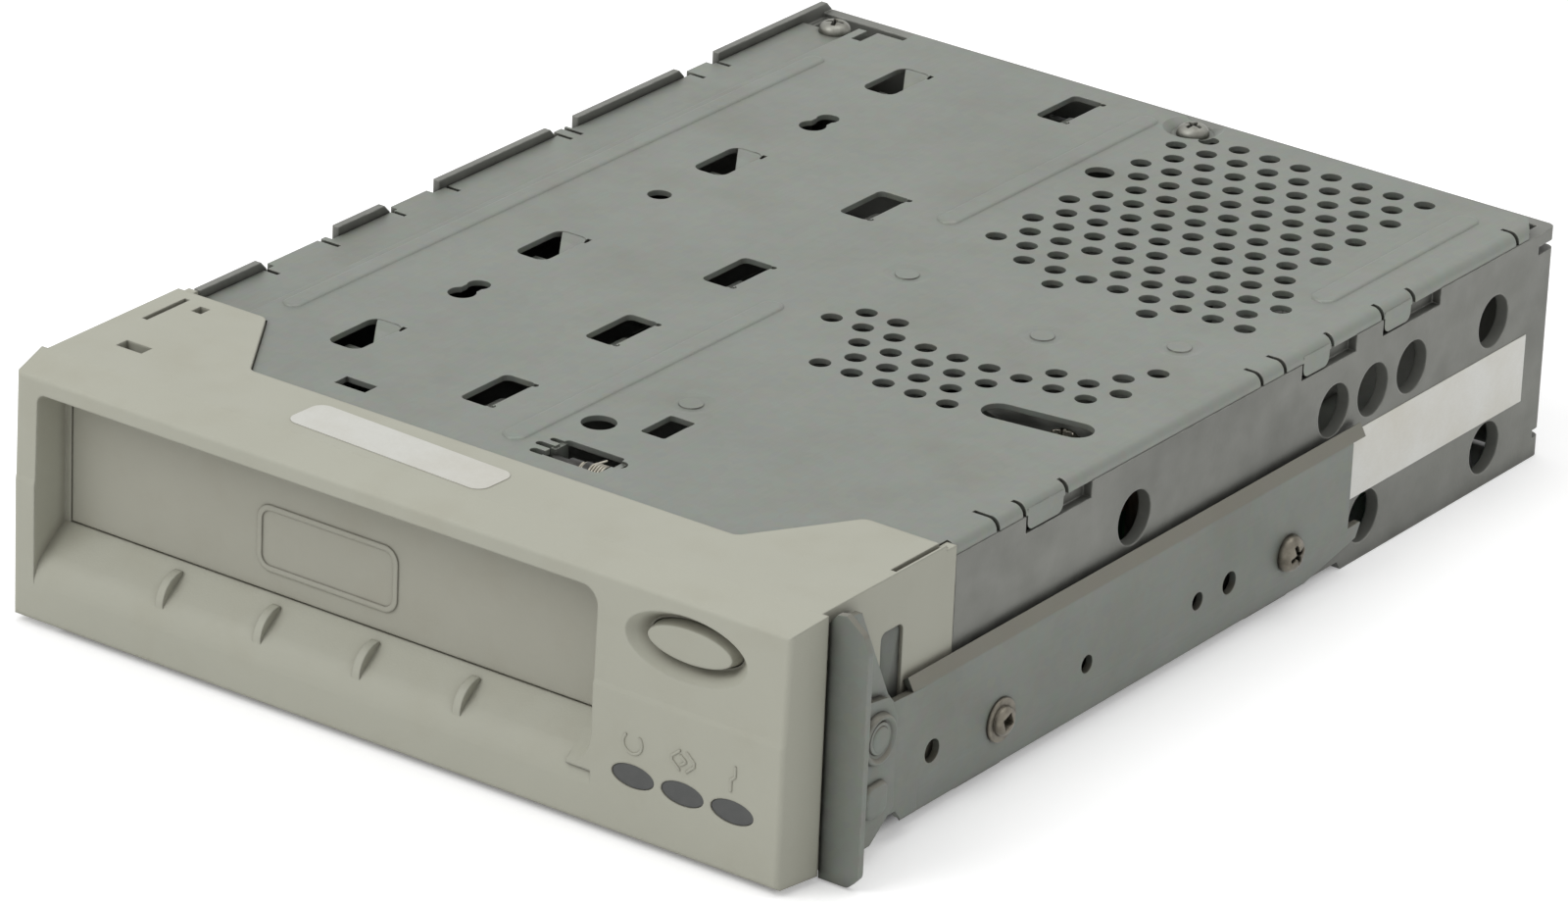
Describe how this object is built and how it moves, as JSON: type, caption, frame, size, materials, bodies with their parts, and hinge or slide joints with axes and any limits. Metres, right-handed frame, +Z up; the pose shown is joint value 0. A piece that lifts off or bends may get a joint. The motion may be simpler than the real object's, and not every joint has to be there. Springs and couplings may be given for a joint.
{
  "type": "cartridge tape drive",
  "caption": "Half-height data tape drive with a front cartridge door, an eject button, indicators, a pressed vented cover and a slide rail on its right side.",
  "frame": {"origin": "on the surface that the drive stands on, under the middle of its overall box", "axes": "+Z up through the cover, -Y towards the bezel and its cartridge mouth, +X towards the side with the rail"},
  "size_m": [0.1556, 0.2124, 0.0436],
  "materials": {
    "cast_alloy": "as cast",
    "sheet_steel": "satin",
    "bright_steel": "nickel plated",
    "bezel_plastic": "matte",
    "lens_plastic": "smooth",
    "lamp_plastic": "smooth",
    "board_laminate": "solder mask",
    "black_plastic": "matte",
    "white_plastic": "matte",
    "cable_plastic": "matte",
    "head_metal": "lapped",
    "flex_film": "smooth",
    "motor_steel": "zinc plated",
    "puck_rubber": "ground",
    "pinion_brass": "machined",
    "label_paper": "blank label stock"
  },
  "bodies": {
    "chassis": {"base_frame": "cast_alloy", "top_cover": "sheet_steel", "cover_screws": "bright_steel", "front_bezel": "bezel_plastic", "door_hinge_rod": "bright_steel", "door_spring": "bright_steel", "button_spring": "bright_steel", "indicator_lenses": "lens_plastic", "front_board": "board_laminate", "indicator_lamps": "lamp_plastic", "eject_switch": "black_plastic", "front_board_cable": "cable_plastic", "right_rail": "sheet_steel", "rail_clip": "sheet_steel", "rail_screw_front": "bright_steel", "rail_screw_rear": "bright_steel", "main_board": "board_laminate", "board_screws": "bright_steel", "board_components": "black_plastic", "data_connector": "black_plastic", "power_connector": "white_plastic", "jumper_header": "black_plastic", "cartridge_guide_left": "black_plastic", "cartridge_guide_right": "black_plastic", "head_bridge": "cast_alloy", "bridge_screws": "bright_steel", "head_guide_rods": "bright_steel", "head_preamp": "board_laminate", "head_flex": "flex_film", "stepper_motor": "motor_steel", "capstan_stator": "motor_steel", "stator_screws": "bright_steel", "load_motor": "motor_steel", "load_gear_axle": "bright_steel", "load_bracket": "sheet_steel", "tape_sensor": "black_plastic", "cartridge_switches": "black_plastic", "latch_spring": "bright_steel", "service_label": "label_paper", "barcode_label": "label_paper"},
    "door": {"cartridge_door": "bezel_plastic"},
    "button": {"eject_button": "bezel_plastic"},
    "capstan": {"capstan_rotor": "motor_steel", "capstan_puck": "puck_rubber"},
    "lead_screw_body": {"lead_screw": "bright_steel"},
    "head": {"head_carriage": "cast_alloy", "tape_head": "head_metal"},
    "wide_gear": {"load_gear": "white_plastic"},
    "slide": {"load_slider": "white_plastic"},
    "pinion": {"load_pinion": "pinion_brass"}
  },
  "joints": [
    {"name": "door_hinge", "type": "hinge", "parent": "chassis", "child": "door", "pos_m": [0, -0.096, 0.0372], "axis": [1, 0, 0], "range_deg": [0, 90], "stiffness_Nm_per_rad": 0.002, "springref_deg": -28.65, "deforming": ["door_spring"]},
    {"name": "eject_button", "type": "slide", "parent": "chassis", "child": "button", "axis": [0, 1, 0], "range_m": [0, 0.001], "stiffness_N_per_m": 400, "springref_m": -0.001, "deforming": ["button_spring"]},
    {"name": "capstan_spin", "type": "hinge", "parent": "chassis", "child": "capstan", "pos_m": [0.04195, -0.0222, 0], "axis": [0, 0, 1], "continuous": true},
    {"name": "lead_screw_spin", "type": "hinge", "parent": "chassis", "child": "lead_screw_body", "pos_m": [0.05065, -0.0502, 0], "axis": [0, 0, 1], "range_deg": [-541, 541]},
    {"name": "head_lift", "type": "slide", "parent": "chassis", "child": "head", "axis": [0, 0, 1], "range_m": [-0.003, 0.003], "deforming": ["head_flex"]},
    {"name": "load_gear_spin", "type": "hinge", "parent": "chassis", "child": "wide_gear", "pos_m": [0.05365, 0.0398, 0], "axis": [0, 0, 1], "range_deg": [-107.43, 0]},
    {"name": "load_slide_travel", "type": "slide", "parent": "chassis", "child": "slide", "axis": [0, 1, 0], "range_m": [-0.0001, 0.0181]},
    {"name": "load_pinion_spin", "type": "hinge", "parent": "chassis", "child": "pinion", "pos_m": [0.05365, 0.0542, 0], "axis": [0, 0, 1], "range_deg": [-1, 215.5]}
  ],
  "couplings": [
    {"joint": "lead_screw_spin", "follows": "head_lift", "rad_per_m": 3141.6},
    {"joint": "load_slide_travel", "follows": "load_gear_spin", "m_per_rad": -0.0096},
    {"joint": "load_pinion_spin", "follows": "load_gear_spin", "ratio": -2}
  ]
}
